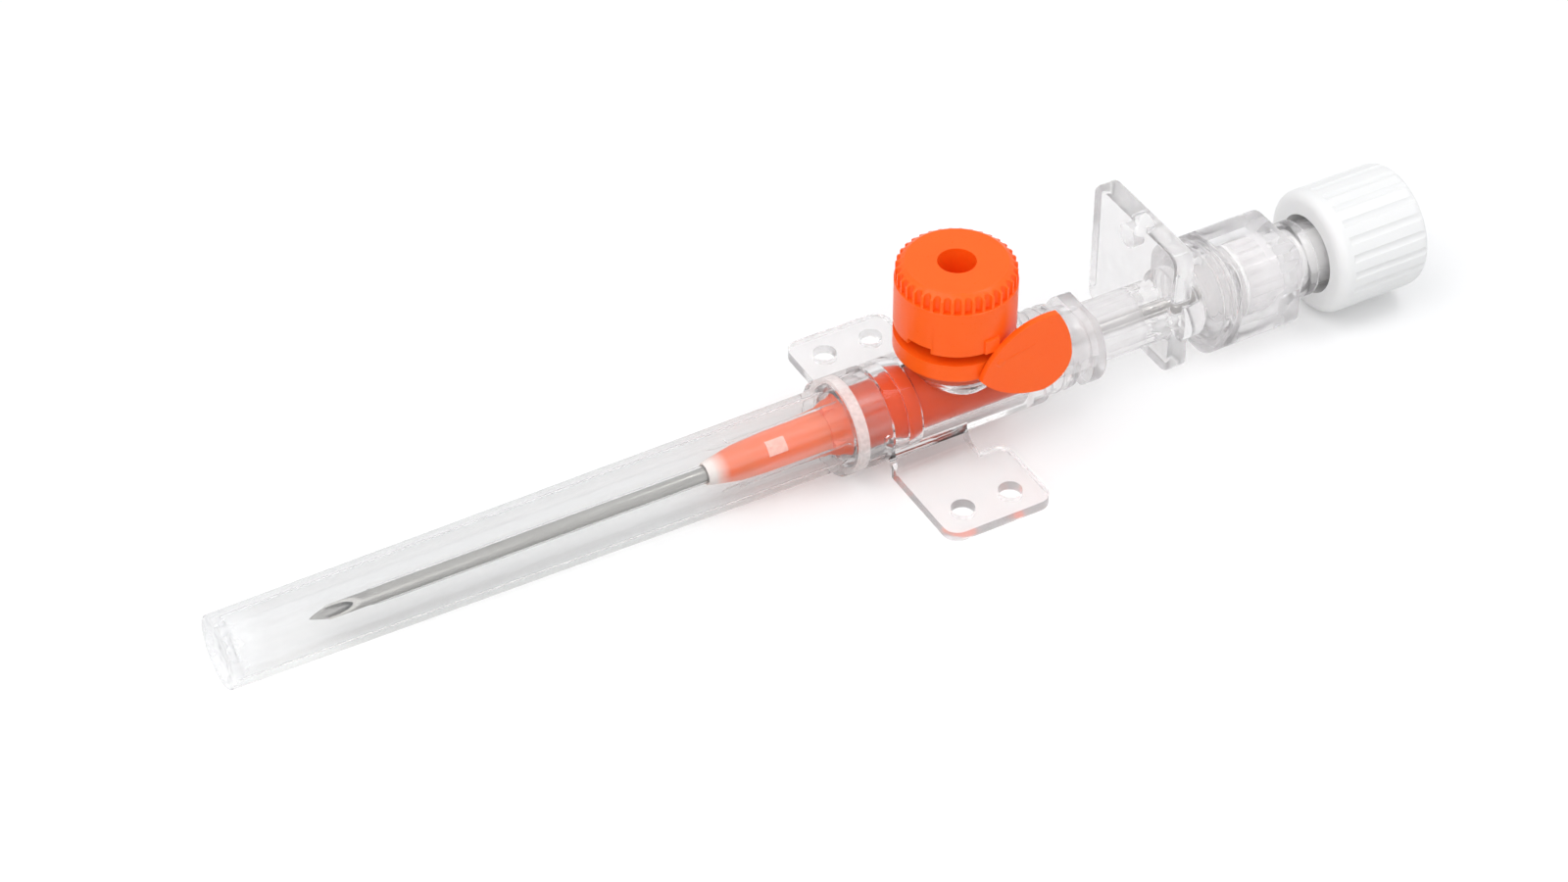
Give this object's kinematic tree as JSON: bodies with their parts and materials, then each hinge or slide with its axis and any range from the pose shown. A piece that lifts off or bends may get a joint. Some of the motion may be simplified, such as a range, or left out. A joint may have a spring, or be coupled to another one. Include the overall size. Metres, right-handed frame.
{
  "type": "intravenous cannula",
  "caption": "Winged intravenous cannula with a capped injection port, steel needle, flashback chamber, closing cap and needle cover.",
  "frame": {"origin": "middle of the four wing holes, on the underside of the wings", "axes": "+X along the cannula from its point toward the white closing cap, +Z out of the injection port, away from the underside of the wings"},
  "size_m": [0.1109, 0.0278, 0.0185],
  "materials": {
    "cover_plastic": "frosted translucent polypropylene",
    "catheter_plastic": "clear soft fluoropolymer tube",
    "ferrule_metal": "drawn stainless wedge",
    "needle_steel": "bright drawn stainless tube",
    "core_plastic": "translucent orange moulding",
    "valve_silicone": "soft milky silicone",
    "clear_plastic": "clear glossy moulding",
    "cap_plastic": "opaque orange moulding with a soft sheen",
    "vent_plastic": "clear ribbed moulding",
    "membrane": "thin white filter sheet",
    "white_plastic": "white moulding with a soft sheen"
  },
  "bodies": {
    "hub": {"catheter_hub": "clear_plastic", "hub_nose": "core_plastic", "port_valve": "valve_silicone", "port_ring": "cap_plastic", "catheter_tube": "catheter_plastic", "catheter_ferrule": "ferrule_metal"},
    "cover": {"needle_cover": "cover_plastic"},
    "stylet": {"needle": "needle_steel", "needle_hub": "clear_plastic", "flashback_chamber": "clear_plastic", "vent_plug": "vent_plastic", "vent_membrane": "membrane"},
    "end_cap": {"luer_cap": "white_plastic"},
    "port_lid": {"port_cap": "cap_plastic"}
  },
  "joints": [
    {"name": "cover_pull", "type": "slide", "parent": "hub", "child": "cover", "axis": [-1, 0, 0], "range_m": [0, 0.055]},
    {"name": "needle_pull", "type": "slide", "parent": "hub", "child": "stylet", "axis": [1, 0, 0], "range_m": [0, 0.075]},
    {"name": "end_cap_pull", "type": "slide", "parent": "stylet", "child": "end_cap", "axis": [1, 0, 0], "range_m": [0, 0.01]},
    {"name": "port_cap_lift", "type": "slide", "parent": "hub", "child": "port_lid", "axis": [0, 0, 1], "range_m": [0, 0.004]}
  ]
}
